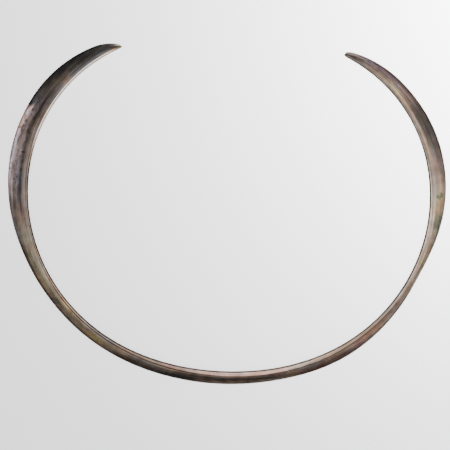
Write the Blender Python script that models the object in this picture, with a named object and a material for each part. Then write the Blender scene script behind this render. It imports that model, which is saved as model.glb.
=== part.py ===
"""Silver torc: an open neck ring forged in one piece from a single bar.

The bar has a flat back and lies on it. A narrow raised rim runs along the inner edge of the ring,
a shallow groove follows the rim, and the face falls from there to the outer edge. The bar is
stout and narrow at the front of the ring and is drawn out into two broad, thinner blades
beside the opening, each ending in a tip.

Metres, +Z up. The front of the ring points to -Y and the opening to +Y. The origin is on the
underside, below the middle of the ring's outline. Places along the ring are bearings in degrees,
counted clockwise seen from above, from the middle of the opening: 90 is the arm at +X, 180 the
front, and 270 the arm at -X.
"""
import bmesh
import bpy
import numpy as np

MM = 0.001

# Plan of the ring's inner edge: a mean radius, three slow departures from a circle, and the
# bearing that they are turned to
INNER_RADIUS = 58.32 * MM
OVAL = 4.78 * MM
EGG = 0.67 * MM
SQUARENESS = 0.38 * MM
TURN = 3.0

# Bearings of the two tips
RIGHT_TIP = 38.7
LEFT_TIP = 325.0

# Height of the rim above the underside: full for FRONT_HALF_SPAN degrees either side of the
# front, and down to the arms' height by ARM_START degrees from it
FRONT_HEIGHT = 3.2 * MM
ARM_HEIGHT = 2.2 * MM
FRONT_HALF_SPAN = 25.0
ARM_START = 100.0

# The bar along the ring: bearing, then its width, the rim's width, the groove's depth and the
# height of the outer edge in millimetres
STATIONS = (
    (38.7, 1.72, 0.40, 0.04, 0.90),
    (42.0, 2.72, 0.45, 0.08, 0.80),
    (46.0, 3.54, 0.50, 0.10, 0.80),
    (52.0, 4.36, 0.50, 0.10, 0.80),
    (60.0, 4.90, 0.50, 0.10, 0.80),
    (76.0, 5.46, 0.50, 0.10, 0.80),
    (90.0, 4.92, 0.65, 0.03, 0.95),
    (100.0, 3.82, 1.15, 0.04, 1.35),
    (107.0, 2.90, 1.10, 0.05, 1.65),
    (112.5, 2.50, 1.00, 0.06, 1.85),
    (120.0, 2.74, 0.90, 0.08, 1.90),
    (130.0, 3.22, 0.85, 0.14, 1.85),
    (142.0, 3.78, 1.05, 0.22, 1.85),
    (166.0, 3.74, 1.30, 0.10, 1.90),
    (184.0, 3.90, 1.20, 0.04, 1.90),
    (200.0, 3.86, 0.95, 0.18, 1.80),
    (222.0, 3.83, 0.60, 0.20, 1.60),
    (242.0, 4.01, 0.45, 0.12, 1.30),
    (254.0, 4.62, 0.45, 0.03, 1.10),
    (270.0, 6.04, 0.45, 0.03, 0.90),
    (290.0, 6.88, 0.50, 0.04, 0.80),
    (304.0, 6.48, 0.50, 0.04, 0.80),
    (313.0, 5.42, 0.50, 0.04, 0.80),
    (319.0, 4.28, 0.50, 0.04, 0.85),
    (325.0, 2.77, 0.45, 0.04, 0.90),
)

# Cross-section
WALL_LEAN = 0.10 * MM
BOTTOM_ROUND = 0.25 * MM
RIM_ROUND = 0.12 * MM
GROOVE_WIDTH = 0.28 * MM
FACE_CURVE = 1.4
FACE_STEPS = 5
EDGE_ROUND = 0.15 * MM
SIDE_BELLY = 0.5        # height of the outermost line, as a share of the outer edge's height
HEEL = 0.40 * MM        # how far in from the outermost line the flat of the underside ends

# Tips: length of the rounding, share of the section left at its end, and how far across the
# blade the tip's point lies, from the inner edge
RIGHT_ROUNDING = (1.3 * MM, 0.34, 0.45)
LEFT_ROUNDING = (6.0 * MM, 0.10, 0.05)

# Sections along the ring
SECTION_SPACING = 2.0
TIP_STEPS = 7

SILVER = (0.40, 0.35, 0.30, 1.0)
SHARP_EDGE = np.radians(32.0)


def clear_scene():
    """Remove every object that is already in the file."""
    for old in list(bpy.data.objects):
        bpy.data.objects.remove(old, do_unlink=True)


def inner_radius(bearing):
    """Distance of the inner edge from the ring's centre, at bearings in radians."""
    turned = bearing - np.radians(TURN)
    return (INNER_RADIUS - OVAL * np.cos(2 * turned) - EGG * np.cos(3 * turned)
            - SQUARENESS * np.cos(4 * turned))


def along(bearings, column):
    """Carry one column of the stations along the ring as a smooth cubic through its values."""
    table = np.array(STATIONS)
    marks = table[:, 0]
    values = table[:, column] * MM
    slopes = np.gradient(values, marks)
    left = np.clip(np.searchsorted(marks, bearings) - 1, 0, len(marks) - 2)
    span = marks[left + 1] - marks[left]
    t = (bearings - marks[left]) / span
    rise = t * t * (3 - 2 * t)
    return (values[left] * (1 - rise) + values[left + 1] * rise
            + span * t * (1 - t) * (slopes[left] * (1 - t) - slopes[left + 1] * t))


def rim_height(bearings):
    """Height of the rim: full at the front, falling smoothly to the arms'."""
    away = (np.abs(bearings - 180.0) - FRONT_HALF_SPAN) / (ARM_START - FRONT_HALF_SPAN)
    away = np.clip(away, 0.0, 1.0)
    return FRONT_HEIGHT - (FRONT_HEIGHT - ARM_HEIGHT) * away * away * (3 - 2 * away)


def section_bearings():
    """Bearings of the sections: even along the ring, closing up towards each tip."""
    mm_per_degree = np.radians(1.0) * INNER_RADIUS
    closing = 1 - np.cos(np.linspace(0, np.pi / 2, TIP_STEPS))
    right = RIGHT_TIP + closing * RIGHT_ROUNDING[0] / mm_per_degree
    left = LEFT_TIP - closing * LEFT_ROUNDING[0] / mm_per_degree
    count = int(round((left[-1] - right[-1]) / SECTION_SPACING))
    middle = np.linspace(right[-1], left[-1], count + 1)[1:-1]
    return np.concatenate([right, middle, left[::-1]])


def cross_sections(bearings):
    """Offsets from the inner edge and heights of every section's outline.

    The outline runs from the inner bottom edge up the wall, over the rim and the groove, down
    the face to the outer edge, and down the outer side to the underside.
    """
    width = along(bearings, 1)
    rim = along(bearings, 2)
    groove = along(bearings, 3)
    edge = along(bearings, 4)
    top = rim_height(bearings)
    zero = np.zeros_like(width)
    face_start = rim + GROOVE_WIDTH
    face_end = width - EDGE_ROUND
    face_top = top - RIM_ROUND / 2 - groove

    points = [
        (zero + BOTTOM_ROUND, zero),
        (zero, zero + BOTTOM_ROUND),
        (zero + WALL_LEAN, top - RIM_ROUND),
        (zero + WALL_LEAN + RIM_ROUND, top),
        (rim - RIM_ROUND / 2, top),
        (rim, top - RIM_ROUND / 2),
    ]
    for t in np.linspace(0.0, 1.0, FACE_STEPS + 1):
        points.append((face_start + (face_end - face_start) * t,
                       face_top - (face_top - edge) * t ** FACE_CURVE))
    points += [
        (width - EDGE_ROUND / 4, edge - EDGE_ROUND / 2),
        (width, edge * SIDE_BELLY),
        (width - HEEL / 3, zero + HEEL / 3),
        (width - HEEL, zero),
    ]
    offsets = np.array([p[0] for p in points]).T
    heights = np.array([p[1] for p in points]).T
    return offsets, heights


def round_tips(bearings, offsets, heights):
    """Draw the sections near each tip together towards the tip's point."""
    width = along(bearings, 1)[:, None]
    for tip, (length, end_share, point) in ((RIGHT_TIP, RIGHT_ROUNDING),
                                            (LEFT_TIP, LEFT_ROUNDING)):
        distance = np.radians(np.abs(bearings - tip)) * INNER_RADIUS
        closing = 1 - np.clip(distance / length, 0.0, 1.0)
        share = (end_share + (1 - end_share) * np.sqrt(1 - closing ** 2))[:, None]
        offsets = point * width + (offsets - point * width) * share
        heights = heights * (0.5 + 0.5 * share)
    return offsets, heights


def torc_mesh():
    """Loft the cross-sections along the ring and close both ends."""
    bearings = section_bearings()
    offsets, heights = round_tips(bearings, *cross_sections(bearings))
    turn = np.radians(bearings)[:, None]
    radius = inner_radius(turn) + offsets
    places = np.stack([radius * np.sin(turn), radius * np.cos(turn), heights], axis=-1)
    low = places.min(axis=(0, 1))
    high = places.max(axis=(0, 1))
    places[..., :2] -= (low[:2] + high[:2]) / 2

    bm = bmesh.new()
    rings = [[bm.verts.new(place) for place in section] for section in places]
    for here, there in zip(rings, rings[1:]):
        for i in range(len(here)):
            j = (i + 1) % len(here)
            bm.faces.new((here[i], here[j], there[j], there[i]))
    bm.faces.new(rings[0][::-1])
    bm.faces.new(rings[-1])
    bmesh.ops.recalc_face_normals(bm, faces=bm.faces)
    mesh = bpy.data.meshes.new("torc")
    bm.to_mesh(mesh)
    bm.free()
    mesh.shade_smooth()
    mesh.set_sharp_from_angle(angle=SHARP_EDGE)
    return mesh


def silver():
    """Old silver, browned by tarnish."""
    material = bpy.data.materials.new("tarnished_silver")
    material.use_nodes = True
    shader = material.node_tree.nodes["Principled BSDF"]
    shader.inputs["Base Color"].default_value = SILVER
    shader.inputs["Metallic"].default_value = 1.0
    shader.inputs["Roughness"].default_value = 0.38
    return material


def build():
    clear_scene()
    collection = bpy.data.collections.new("silver_torc")
    bpy.context.scene.collection.children.link(collection)
    torc = bpy.data.objects.new("torc", torc_mesh())
    torc.data.materials.append(silver())
    collection.objects.link(torc)


build()
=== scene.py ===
import bpy
import numpy as np
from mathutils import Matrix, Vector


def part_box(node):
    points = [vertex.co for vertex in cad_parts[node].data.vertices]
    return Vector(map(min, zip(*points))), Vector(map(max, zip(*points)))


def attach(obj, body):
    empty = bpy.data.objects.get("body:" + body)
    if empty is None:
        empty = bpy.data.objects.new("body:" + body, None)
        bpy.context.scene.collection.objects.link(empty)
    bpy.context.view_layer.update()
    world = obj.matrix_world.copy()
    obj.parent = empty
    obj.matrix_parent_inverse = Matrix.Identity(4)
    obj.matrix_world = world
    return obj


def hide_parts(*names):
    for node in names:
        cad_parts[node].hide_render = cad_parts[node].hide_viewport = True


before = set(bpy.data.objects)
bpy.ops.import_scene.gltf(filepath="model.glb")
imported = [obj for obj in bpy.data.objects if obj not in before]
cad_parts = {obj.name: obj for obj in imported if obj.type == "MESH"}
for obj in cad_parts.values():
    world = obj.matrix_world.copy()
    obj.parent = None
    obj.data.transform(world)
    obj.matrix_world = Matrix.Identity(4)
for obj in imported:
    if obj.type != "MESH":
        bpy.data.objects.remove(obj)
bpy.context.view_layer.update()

# The torc: an open neck ring of old silver, forged in one piece from a single bar. Its back is
# flat, a narrow raised rim runs along the inner edge with a crease beside it, and the ends are
# drawn out into broad blades. The silver is worn bright in places and browned by tarnish, and its
# colour also holds painted highlights and painted shade.

MM = 0.001
INNER_RADIUS = 58.32 * MM
OVAL = 4.78 * MM
EGG = 0.67 * MM
SQUARENESS = 0.38 * MM
TURN = 3.0
RIGHT_TIP = 38.7
LEFT_TIP = 325.0
FRONT_HEIGHT = 3.2 * MM
ARM_HEIGHT = 2.2 * MM
FRONT_HALF_SPAN = 25.0
ARM_START = 100.0

# Bearing from the middle of the opening, then the bar's width, the rim's width, the groove's
# depth and the height of the outer edge in millimetres
STATIONS = (
    (38.7, 1.72, 0.40, 0.04, 0.90),
    (42.0, 2.72, 0.45, 0.08, 0.80),
    (46.0, 3.54, 0.50, 0.10, 0.80),
    (52.0, 4.36, 0.50, 0.10, 0.80),
    (60.0, 4.90, 0.50, 0.10, 0.80),
    (76.0, 5.46, 0.50, 0.10, 0.80),
    (90.0, 4.92, 0.65, 0.03, 0.95),
    (100.0, 3.82, 1.15, 0.04, 1.35),
    (107.0, 2.90, 1.10, 0.05, 1.65),
    (112.5, 2.50, 1.00, 0.06, 1.85),
    (120.0, 2.74, 0.90, 0.08, 1.90),
    (130.0, 3.22, 0.85, 0.14, 1.85),
    (142.0, 3.78, 1.05, 0.22, 1.85),
    (166.0, 3.74, 1.30, 0.10, 1.90),
    (184.0, 3.90, 1.20, 0.04, 1.90),
    (200.0, 3.86, 0.95, 0.18, 1.80),
    (222.0, 3.83, 0.60, 0.20, 1.60),
    (242.0, 4.01, 0.45, 0.12, 1.30),
    (254.0, 4.62, 0.45, 0.03, 1.10),
    (270.0, 6.04, 0.45, 0.03, 0.90),
    (290.0, 6.88, 0.50, 0.04, 0.80),
    (304.0, 6.48, 0.50, 0.04, 0.80),
    (313.0, 5.42, 0.50, 0.04, 0.80),
    (319.0, 4.28, 0.50, 0.04, 0.85),
    (325.0, 2.77, 0.45, 0.04, 0.90),
)

# Cross-section, and for each tip its rounding length, the share of the section left at its end and
# how far across the blade its point lies
WALL_LEAN = 0.10 * MM
BOTTOM_ROUND = 0.25 * MM
RIM_ROUND = 0.12 * MM
GROOVE_WIDTH = 0.28 * MM
FACE_CURVE = 1.4
EDGE_ROUND = 0.15 * MM
SIDE_BELLY = 0.5
HEEL = 0.40 * MM
RIGHT_ROUNDING = (1.3 * MM, 0.34, 0.45)
LEFT_ROUNDING = (6.0 * MM, 0.10, 0.05)

# Fineness of the surface: sections along the ring, and points round each section
SECTION_SPACING = 0.25 * MM
TIP_STEPS = 24
QUARTER_STEPS = 4
FACE_STEPS = 25
FACE_CROWDING = 1.15


def inner_radius(bearing):
    """Distance of the inner edge from the ring's centre: the mean radius, less cosines of two,
    three and four times the turned bearing."""
    turned = np.radians(bearing - TURN)
    return (INNER_RADIUS - OVAL * np.cos(2 * turned) - EGG * np.cos(3 * turned)
            - SQUARENESS * np.cos(4 * turned))


def along(bearings, table, column):
    """One column of a table carried along the ring as a smooth cubic through its values."""
    table = np.array(table)
    marks = table[:, 0]
    values = table[:, column]
    slopes = np.gradient(values, marks)
    left = np.clip(np.searchsorted(marks, bearings) - 1, 0, len(marks) - 2)
    span = marks[left + 1] - marks[left]
    t = (bearings - marks[left]) / span
    rise = t * t * (3 - 2 * t)
    return (values[left] * (1 - rise) + values[left + 1] * rise
            + span * t * (1 - t) * (slopes[left] * (1 - t) - slopes[left + 1] * t))


def rim_height(bearings):
    """Height of the rim: full at the front, falling smoothly to the arms'."""
    away = (np.abs(bearings - 180.0) - FRONT_HALF_SPAN) / (ARM_START - FRONT_HALF_SPAN)
    away = np.clip(away, 0.0, 1.0)
    return FRONT_HEIGHT - (FRONT_HEIGHT - ARM_HEIGHT) * away * away * (3 - 2 * away)


def section_bearings():
    """Bearings of the sections: even along the ring, closing up towards each tip."""
    mm_per_degree = np.radians(1.0) * INNER_RADIUS
    closing = 1 - np.cos(np.linspace(0, np.pi / 2, TIP_STEPS))
    right = RIGHT_TIP + closing * RIGHT_ROUNDING[0] / mm_per_degree
    left = LEFT_TIP - closing * LEFT_ROUNDING[0] / mm_per_degree
    count = int((left[-1] - right[-1]) * mm_per_degree / SECTION_SPACING)
    middle = np.linspace(right[-1], left[-1], count + 1)[1:-1]
    return np.concatenate([right, middle, left[::-1]])


def outline(bearings):
    """Offsets from the inner edge and heights of every section: straight runs between the
    section's corners, quarter turns at the rim, and the face falling as a power of the way
    across it. Returns the two arrays and, for each column, which stretch it belongs to."""
    width = along(bearings, STATIONS, 1)[:, None] * MM
    rim = along(bearings, STATIONS, 2)[:, None] * MM
    groove = along(bearings, STATIONS, 3)[:, None] * MM
    edge = along(bearings, STATIONS, 4)[:, None] * MM
    top = rim_height(bearings)[:, None]
    none = np.zeros_like(width)

    def run(start, end, steps):
        t = np.linspace(0.0, 1.0, steps, endpoint=False)
        return [start[i] + (end[i] - start[i]) * t for i in (0, 1)]

    quarter = np.linspace(0.0, np.pi / 2, QUARTER_STEPS, endpoint=False)
    t = np.linspace(0.0, 1.0, FACE_STEPS) ** FACE_CROWDING
    face_start = rim + GROOVE_WIDTH
    face_end = width - EDGE_ROUND
    face_top = top - RIM_ROUND / 2 - groove
    stretches = [
        run((width - HEEL, none), (none + BOTTOM_ROUND, none), 7),
        [BOTTOM_ROUND * (1 - np.sin(quarter)) + none, BOTTOM_ROUND * (1 - np.cos(quarter)) + none],
        run((none, none + BOTTOM_ROUND), (none + WALL_LEAN, top - RIM_ROUND), 6),
        [WALL_LEAN + RIM_ROUND * (1 - np.cos(quarter)) + none,
         top - RIM_ROUND * (1 - np.sin(quarter))],
        run((none + WALL_LEAN + RIM_ROUND, top), (rim - RIM_ROUND / 2, top), 5),
        [rim - RIM_ROUND / 2 * (1 - np.sin(quarter)), top - RIM_ROUND / 2 * (1 - np.cos(quarter))],
        run((rim, top - RIM_ROUND / 2), (face_start, face_top), 4),
        [face_start + (face_end - face_start) * t,
         face_top - (face_top - edge) * t ** FACE_CURVE],
        run((width - EDGE_ROUND / 4, edge - EDGE_ROUND / 2), (width, edge * SIDE_BELLY), 3),
        run((width, edge * SIDE_BELLY), (width - HEEL / 3, none + HEEL / 3), 3),
        run((width - HEEL / 3, none + HEEL / 3), (width - HEEL, none), 2),
    ]
    offsets = np.concatenate([s[0] for s in stretches], axis=1)
    heights = np.concatenate([s[1] for s in stretches], axis=1)
    columns = [s[0].shape[1] for s in stretches]
    return offsets, heights, np.repeat(np.arange(len(stretches)), columns)


def round_tips(bearings, offsets, heights):
    """Sections near each tip drawn together towards the tip's point, as a quarter ellipse."""
    width = along(bearings, STATIONS, 1)[:, None] * MM
    for tip, (length, end_share, point) in ((RIGHT_TIP, RIGHT_ROUNDING),
                                            (LEFT_TIP, LEFT_ROUNDING)):
        distance = np.radians(np.abs(bearings - tip)) * INNER_RADIUS
        closing = 1 - np.clip(distance / length, 0.0, 1.0)
        share = (end_share + (1 - end_share) * np.sqrt(1 - closing ** 2))[:, None]
        offsets = point * width + (offsets - point * width) * share
        heights = heights * (0.5 + 0.5 * share)
    return offsets, heights


def surface_mesh(name, grid):
    """A mesh from a grid of points: rows join into tubes, and each end closes with one face."""
    rows, columns = grid.shape[:2]
    index = np.arange(rows * columns).reshape(rows, columns)
    here, there = index[:-1], index[1:]
    quads = np.stack([here, there, np.roll(there, -1, axis=1), np.roll(here, -1, axis=1)], axis=-1)
    faces = quads.reshape(-1, 4).tolist() + [index[0].tolist(), index[-1][::-1].tolist()]
    mesh = bpy.data.meshes.new(name)
    mesh.from_pydata(grid.reshape(-1, 3).tolist(), [], faces)
    mesh.shade_smooth()
    return mesh


def eased(value):
    """A smooth step from 0 to 1 as the value goes from 0 to 1."""
    held = np.clip(value, 0.0, 1.0)
    return held * held * (3 - 2 * held)


def mottle(length, width, seed):
    """Smooth random values from -1 to 1 over the unrolled bar, in cells of length by width."""
    random = np.random.default_rng(seed)
    spots = [(distances / length).clip(0), (offsets / width).clip(0)]
    cells = [spot.astype(int) for spot in spots]
    table = random.uniform(-1.0, 1.0, [cell.max() + 2 for cell in cells])
    u, v = [eased(spot - cell) for spot, cell in zip(spots, cells)]
    i, j = cells
    return ((table[i, j] * (1 - u) + table[i + 1, j] * u) * (1 - v)
            + (table[i, j + 1] * (1 - u) + table[i + 1, j + 1] * u) * v)


def stretch_of(first, last):
    """1 between two bearings, easing in and out over half of that stretch along wandering lines."""
    fade = min(0.5 * (last - first), 8.0)
    return eased((wandering - first) / fade + 0.5) * eased((last - wandering) / fade + 0.5)


def patch(first, last, near, far):
    """1 between two bearings and two shares of the width, with soft and wandering edges."""
    feather = min(0.5 * (far - near), 0.22)
    return (stretch_of(first, last) * eased((drifting - near) / feather + 0.5)
            * eased((far - drifting) / feather + 0.5))


bearings = section_bearings()
offsets, heights, stretch = outline(bearings)
share = offsets / (along(bearings, STATIONS, 1)[:, None] * MM)
distances = np.radians(bearings - RIGHT_TIP)[:, None] * INNER_RADIUS + 0 * offsets
wandering = bearings[:, None] + 0.8 * mottle(2.5 * MM, 1.1 * MM, 1)
drifting = share + 0.035 * mottle(4.0 * MM, 1.5 * MM, 2)

# Places of these stretches in the list that outline() makes
WALL, RIM, FACE, SIDE = 2, 4, 7, 8
on_top = (stretch >= RIM) & (stretch <= FACE)

# Relief, in millimetres: the dents of the hammer, the lines of drawing and rubbing along the
# bar, and the outer part of the left blade dished and pitted
DENTS = 0.022
SMALL_DENTS = 0.012
DRAWN_LINES = 0.004
DISH_DEPTH = 0.13
PIT_DEPTH = 0.035
PITTED_BUMPS = 0.02
face_share = eased((share - 0.12) / 0.2) * eased((1.0 - share) / 0.08)
relief = DENTS * mottle(4.5 * MM, 1.7 * MM, 3) + SMALL_DENTS * mottle(1.8 * MM, 0.8 * MM, 4)
relief += DRAWN_LINES * mottle(9.0 * MM, 0.33 * MM, 5)
relief -= DISH_DEPTH * patch(268.0, 299.0, 0.42, 0.86)
pitted = patch(274.0, 297.5, 0.34, 1.10)
pits = eased((mottle(0.7 * MM, 0.5 * MM, 6) - 0.35) / 0.3) * pitted
relief += (PITTED_BUMPS * mottle(1.1 * MM, 0.7 * MM, 7) - PIT_DEPTH * pits) * pitted
heights = heights + np.where(on_top, relief * face_share * MM, 0.0)

# Colour of the metal, in stops above or below SILVER. Rows: from and to bearing, from and to
# share of the width, then brightness, red against green and blue against green. The first table
# holds the broad stretches, worn and tarnished metal mixed with painted reflections and painted
# shade, and the second the small marks, among them painted glints on the left blade's outer edge
WEAR_AND_PAINTED_LIGHT = (
    (27.0, 43.0, -0.20, 1.10, -1.3, -0.1, 0.1),
    (41.5, 62.0, 0.17, 0.76, 0.75, 0.0, 0.0),
    (38.5, 50.0, 0.60, 1.10, -0.4, 0.1, 0.2),
    (44.0, 62.0, 0.50, 1.05, -0.2, 0.1, 0.3),
    (61.0, 77.5, 0.28, 1.10, -0.6, -0.05, 0.05),
    (58.0, 81.5, 0.10, 0.32, 0.3, 0.1, -0.1),
    (72.5, 80.0, 0.18, 0.40, 0.5, 0.1, -0.2),
    (78.5, 90.5, 0.20, 1.10, 0.3, 0.1, 0.1),
    (85.5, 108.5, 0.18, 0.62, 0.9, 0.0, -0.15),
    (84.5, 102.5, 0.55, 1.05, 0.5, -0.1, -0.1),
    (89.5, 95.0, 0.22, 0.62, 0.35, 0.15, -0.2),
    (94.5, 98.0, 0.45, 0.95, -0.5, -0.2, -0.1),
    (107.5, 115.0, 0.34, 0.55, 0.7, 0.0, -0.1),
    (115.0, 138.5, 0.30, 0.70, 0.1, 0.1, 0.0),
    (137.5, 159.0, 0.68, 1.10, -0.7, 0.15, 0.0),
    (132.0, 167.5, 0.40, 0.62, 0.35, 0.1, 0.0),
    (163.5, 199.0, 0.38, 0.78, -0.95, 0.0, 0.05),
    (191.5, 216.5, 0.66, 1.10, -1.0, -0.1, 0.1),
    (196.5, 218.5, 0.38, 0.66, 0.45, 0.0, 0.0),
    (214.5, 247.5, 0.34, 0.78, 0.75, 0.0, -0.2),
    (233.0, 253.5, 0.20, 0.46, 0.6, 0.0, -0.1),
    (245.0, 261.5, 0.22, 0.86, 0.85, -0.15, -0.1),
    (256.5, 266.5, 0.40, 1.10, 0.5, 0.0, 0.0),
    (263.5, 302.0, 0.08, 0.44, -0.75, 0.0, 0.1),
    (265.5, 287.5, 0.36, 0.62, 0.4, -0.1, 0.25),
    (260.5, 295.5, 0.82, 1.30, 1.6, 0.05, 0.2),
    (275.5, 296.5, 0.56, 0.92, 0.6, -0.1, 0.35),
    (294.5, 316.0, 0.12, 1.10, -1.0, -0.15, 0.12),
    (312.0, 331.0, 0.12, 1.10, -0.35, -0.20, 0.15),
)
# Small marks, and painted glints along the outer edge of the left blade
SPOTS_AND_PAINTED_GLINTS = (
    (53.5, 55.3, 0.42, 0.56, 0.5, 0.5, -0.4),
    (55.1, 57.8, 0.24, 0.44, 0.5, 0.0, -0.4),
    (64.0, 72.0, 0.35, 0.85, -0.3, 0.0, 0.0),
    (88.6, 89.6, 0.56, 0.78, -1.0, -0.6, -0.1),
    (89.3, 90.3, 0.36, 0.60, -1.1, -0.6, -0.1),
    (107.7, 109.3, 0.10, 0.50, 0.3, 0.1, -0.6),
    (119.5, 120.7, 0.10, 0.40, 0.2, 0.6, -0.3),
    (118.4, 119.5, 0.35, 0.65, 0.0, -0.3, 0.1),
    (135.3, 139.4, 0.45, 0.75, -0.1, 0.4, 0.1),
    (142.5, 151.0, 0.62, 0.84, -0.5, 0.1, 0.0),
    (162.3, 163.9, 0.05, 0.30, 0.2, 0.1, -0.6),
    (220.6, 226.3, 0.45, 0.80, 0.5, 0.0, -0.4),
    (235.6, 239.5, 0.22, 0.36, 0.6, 0.3, -0.2),
    (238.5, 240.5, 0.50, 0.80, -0.6, -0.3, 0.2),
    (264.5, 274.0, 0.84, 0.93, -0.9, 0.0, 0.0),
    (268.5, 278.5, 0.92, 1.30, 0.4, 0.4, 0.0),
    (288.4, 292.0, 0.80, 1.10, -0.3, 0.5, -0.3),
    (291.8, 295.7, 0.68, 1.05, 0.7, 0.5, -0.2),
    (295.1, 296.9, 0.84, 1.10, -1.2, -0.3, 0.2),
    (295.7, 299.2, 0.30, 0.55, 0.3, 0.3, 0.2),
    (303.1, 307.5, 0.88, 1.10, -0.9, 0.0, 0.1),
    (305.1, 307.4, 0.12, 0.30, 0.3, 0.5, -0.3),
    (322.6, 328.4, 0.00, 0.60, 0.5, 0.2, -0.4),
)

# From and to bearing, then brightness: of the rim, of the inner wall, and of the crease beside the
# rim.
# The rim and wall rows mix wear with painted highlights and painted shade; the brightest rows, on
# the left blade, are painted highlights.
RIM_WEAR_AND_PAINTED_LIGHT = (
    (27.0, 61.0, -0.4),
    (79.5, 104.5, 0.9),
    (108.5, 122.0, 0.6),
    (138.5, 192.5, 0.5),
    (159.0, 178.0, 0.4),
    (203.0, 225.5, -0.2),
    (227.0, 254.5, 0.5),
    (286.5, 323.5, 2.0),
)
WALL_WEAR_AND_PAINTED_LIGHT = (
    (77.5, 120.0, -1.5),
    (124.0, 173.5, 0.7),
    (203.0, 227.0, -1.2),
    (228.0, 264.5, 0.5),
    (282.5, 323.5, 3.2),
)
CREASE = (
    (81.5, 101.5, -0.4),
    (125.0, 167.5, -1.5),
    (167.5, 192.5, -0.6),
    (190.5, 223.5, -1.9),
    (219.5, 244.0, -1.2),
    (264.5, 321.5, -0.5),
)


def lengthwise(rows):
    """The values of rows of (from bearing, to bearing, value) added up along the ring."""
    return sum(value * stretch_of(first, last) for first, last, value in rows)


def tinted(light, red, blue):
    """A change of brightness, of red against green and of blue against green, for each colour."""
    return np.array([light + red, light, light + blue])[:, None, None]


# The tarnish all over, and by how many stops each place is darker or lighter than the face.
# The darkening towards the face's outer edge and on the outer side is painted shade, and the
# rim's lightness is partly polish and partly a painted highlight.
TARNISH = (0.0, 0.40, -0.34)
ROSY_RIM = (0.0, 0.25, 0.05)
OUTER_PAINTED_SHADE = 0.9
PIT_DARKENING = 1.1
CREASE_WIDTH = 0.15
# Rim lightness: partly polish, partly a painted highlight, falling off across the rim
RIM_POLISH_AND_HIGHLIGHT = 0.35
RIM_HIGHLIGHT_FALL = 0.9
WALL_DARKENING = 2.6
SIDE_PAINTED_SHADE = 0.8

brown = tinted(*TARNISH)
# The face: tarnish with patches of wear and tarnish, and painted reflections and painted shade
face = brown + sum(tinted(*change) * patch(*where) for *where, change in
                   [(*row[:4], row[4:]) for row in WEAR_AND_PAINTED_LIGHT + SPOTS_AND_PAINTED_GLINTS])
# Painted shade: darker towards the outer edge, where the face turns away from the light
face = face - OUTER_PAINTED_SHADE * eased((share - 0.70) / 0.30) - PIT_DARKENING * pits
widths = along(bearings, STATIONS, 1)[:, None]
rim_widths = along(bearings, STATIONS, 2)[:, None]
foot = (share * widths - rim_widths - 0.6 * GROOVE_WIDTH / MM) / CREASE_WIDTH
face = face + lengthwise(CREASE) * np.exp(-foot ** 2)
rosy = tinted(*ROSY_RIM) * stretch_of(160.0, 202.0)
# The rim: tarnish and wear, with a painted highlight that is lightest at its inner side and falls off
# across it
rim = brown + rosy + lengthwise(RIM_WEAR_AND_PAINTED_LIGHT) + RIM_POLISH_AND_HIGHLIGHT - RIM_HIGHLIGHT_FALL * share * widths / rim_widths
# The inner wall: darker all along, with wear, painted shade and painted highlights from its rows
wall = brown - WALL_DARKENING + lengthwise(WALL_WEAR_AND_PAINTED_LIGHT)
tone = np.where((stretch == RIM) | (stretch == RIM + 1), rim, face)
tone = np.where(stretch <= WALL, wall, tone)
tone = np.where(stretch == WALL + 1, (wall + rim) / 2, tone)
# Painted shade on the outer side of the bar
tone = tone - SIDE_PAINTED_SHADE * (stretch >= SIDE)

offsets, heights = round_tips(bearings, offsets, heights)
radius = inner_radius(bearings)[:, None] + offsets
turn = np.radians(bearings)[:, None]
places = np.stack([radius * np.sin(turn), radius * np.cos(turn), heights], axis=-1)
low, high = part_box("torc")
middle = np.array((low + high) / 2)
places[..., :2] += middle[:2] - (places.min(axis=(0, 1)) + places.max(axis=(0, 1)))[:2] / 2

mesh = surface_mesh("silver_torc", places)
for name, values in (("unrolled", np.stack([distances, offsets, heights], axis=-1)),
                     ("stops", np.moveaxis(tone, 0, -1))):
    mesh.attributes.new(name, "FLOAT_VECTOR", "POINT").data.foreach_set(
        "vector", values.astype(np.float32).ravel())
torc = bpy.data.objects.new("silver_torc", mesh)
bpy.context.scene.collection.objects.link(torc)


class Signal:
    """An output socket whose sums, differences and products add Math nodes to its tree."""

    def __init__(self, tree, socket):
        self.tree = tree
        self.socket = socket

    @classmethod
    def node(cls, tree, kind, settings=(), sockets=(), output=0):
        """Add a node: its settings are set first, then the values or links of its sockets."""
        made = tree.nodes.new("ShaderNode" + kind)
        for name, value in dict(settings).items():
            setattr(made, name, value)
        for name, value in dict(sockets).items():
            if isinstance(value, cls):
                tree.links.new(value.socket, made.inputs[name])
            else:
                made.inputs[name].default_value = value
        return cls(tree, made.outputs[output]) if len(made.outputs) else made

    def math(self, operation, *others):
        """A Math node on this signal and the others."""
        return self.node(self.tree, "Math", {"operation": operation},
                         enumerate((self,) + others))

    def __add__(self, other):
        return self.math("ADD", other)

    def __mul__(self, other):
        return self.math("MULTIPLY", other)

    def __sub__(self, other):
        return self.math("SUBTRACT", other)

    def __rsub__(self, other):
        return self.math("MULTIPLY_ADD", -1.0, other)

    def __rpow__(self, other):
        return Signal.node(self.tree, "Math", {"operation": "POWER"}, {0: other, 1: self})

    __radd__ = __add__
    __rmul__ = __mul__

    def between(self, low, high):
        """0 below low and 1 above high, with a smooth step between them."""
        return self.node(self.tree, "MapRange", {"interpolation_type": "SMOOTHSTEP"},
                         {"Value": self, "From Min": low, "From Max": high})


material = bpy.data.materials.new("old_silver")
material.use_nodes = True
tree = material.node_tree
tree.nodes.clear()
SILVER = 0.30


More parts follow.
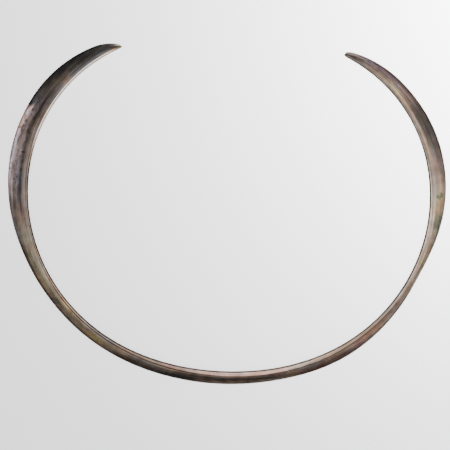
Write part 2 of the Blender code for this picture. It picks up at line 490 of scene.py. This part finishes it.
def noise(coordinates, scales, detail, seed=0.0):
    """Noise from 0 to 1 in a stretched copy of the coordinates, with cells of 1 / scales."""
    scaled = Signal.node(tree, "VectorMath", {"operation": "MULTIPLY"}, {0: coordinates, 1: scales})
    return Signal.node(tree, "TexNoise", {"noise_dimensions": "4D"},
                       {"Vector": scaled, "W": seed, "Scale": 1.0, "Detail": detail})


unrolled = Signal.node(tree, "Attribute", {"attribute_name": "unrolled"}, output=1)
stops = Signal.node(tree, "Attribute", {"attribute_name": "stops"}, output=1)
spot = Signal.node(tree, "TexCoord", output=3)
# Cells to the metre: along, across and up the bar for the unrolled ones
streaks = noise(unrolled, (80.0, 1900.0, 1900.0), 3.0, 1.0)
lines = noise(unrolled, (60.0, 3600.0, 3600.0), 1.0, 7.0)
scratches = noise(unrolled, (300.0, 9000.0, 9000.0), 2.0, 2.0)
patches = noise(spot, (420.0, 420.0, 420.0), 4.0, 3.0)
grain = noise(spot, (4200.0, 4200.0, 4200.0), 3.0, 4.0)
tarnish = noise(unrolled, (110.0, 500.0, 500.0), 3.0, 5.0)
light = (streaks - 0.5) * 2.0 + (lines - 0.5) * 1.6 + (scratches - 0.5) * 0.9
light = light + (patches - 0.5) * 1.7 + (grain - 0.5) * 1.2
warm = (tarnish - 0.5) * 1.0
green = (noise(spot, (700.0, 700.0, 700.0), 2.0, 6.0) - 0.5) * 0.6
parts = [Signal.node(tree, "SeparateXYZ", {}, {0: stops}, output=i) for i in range(3)]
shares = [2.0 ** (parts[0] + light + warm) * SILVER, 2.0 ** (parts[1] + light + green) * SILVER,
          2.0 ** (parts[2] + light - warm) * SILVER]
colour = Signal.node(tree, "CombineXYZ", {}, enumerate(shares))
roughness = 0.34 + (tarnish - 0.5) * 0.20 + (grain - 0.5) * 0.15
height = streaks * 0.5 + scratches * 0.3 + grain * 0.35
bump = Signal.node(tree, "Bump", {}, {"Height": height, "Strength": 0.5, "Distance": 0.000012})
shader = Signal.node(tree, "BsdfPrincipled", {}, {
    "Base Color": colour,
    "Metallic": 1.0,
    "Specular Tint": (0.15, 0.14, 0.13, 1.0),
    "Roughness": roughness,
    "Normal": bump,
})
Signal.node(tree, "OutputMaterial", {}, {"Surface": shader})
mesh.materials.append(material)

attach(torc, "root")
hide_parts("torc")

# The table: a plain pale top that the torc lies on. It isn't part of the object.

TABLE_HALF = 3.0
TABLE_DROP = 0.05 * MM
TABLE_CORNERS = [(x * TABLE_HALF, y * TABLE_HALF, -TABLE_DROP)
                 for x, y in ((-1, -1), (1, -1), (1, 1), (-1, 1))]
table_mesh = bpy.data.meshes.new("table")
table_mesh.from_pydata(TABLE_CORNERS, [], [(0, 1, 2, 3)])
table = bpy.data.objects.new("table", table_mesh)
bpy.context.scene.collection.objects.link(table)
paint = bpy.data.materials.new("pale_table")
paint.use_nodes = True
paint.node_tree.nodes.clear()
top = Signal.node(paint.node_tree, "BsdfPrincipled", {}, {
    "Base Color": (0.86, 0.86, 0.87, 1.0),
    "Roughness": 0.4,
})
Signal.node(paint.node_tree, "OutputMaterial", {}, {"Surface": top})
table_mesh.materials.append(paint)

# Light: a bright ceiling and a softly lit right wall in a darker room, and two soft lamps that
# light the table and show in no reflection.

ROOM_GLOW = 0.12
CEILING_GLOW = 1.5
RIGHT_WALL_GLOW = 0.4
world = bpy.data.worlds.new("room")
world.use_nodes = True
tree = world.node_tree
tree.nodes.clear()
direction = Signal.node(tree, "TexCoord", output=0)
rightward, up = [Signal.node(tree, "SeparateXYZ", {}, {0: direction}, output=i) for i in (0, 2)]
strength = ROOM_GLOW + CEILING_GLOW * up.between(0.78, 0.985)
strength = strength + RIGHT_WALL_GLOW * rightward.between(0.3, 0.75)
air = Signal.node(tree, "Background", {}, {"Color": (0.97, 0.98, 1.0, 1.0), "Strength": strength})
Signal.node(tree, "OutputWorld", {}, {"Surface": air})
bpy.context.scene.world = world

for name, place, size, watts in (("fill_lamp", (0.0, 0.0, 2.0), 1.5, 50.0),
                                 ("side_lamp", (0.15, 0.09, 0.12), 0.10, 2.6)):
    lamp = bpy.data.lights.new(name, "AREA")
    lamp.shape = "DISK"
    lamp.size = size
    lamp.energy = watts
    lamp.use_shadow = False
    lamp_object = bpy.data.objects.new(name, lamp)
    lamp_object.location = place
    lamp_object.visible_glossy = False
    lamp_object.visible_camera = False
    bpy.context.scene.collection.objects.link(lamp_object)

# Camera: straight above the ring, as the photograph was taken.

CAMERA_PLACE = (-0.000625, -0.0035625, 0.450)
camera = bpy.data.cameras.new("camera")
camera.sensor_width = 36.0
camera.lens = 115.2
camera.clip_start = 0.01
camera_object = bpy.data.objects.new("camera", camera)
camera_object.location = CAMERA_PLACE
bpy.context.scene.collection.objects.link(camera_object)
bpy.context.scene.camera = camera_object
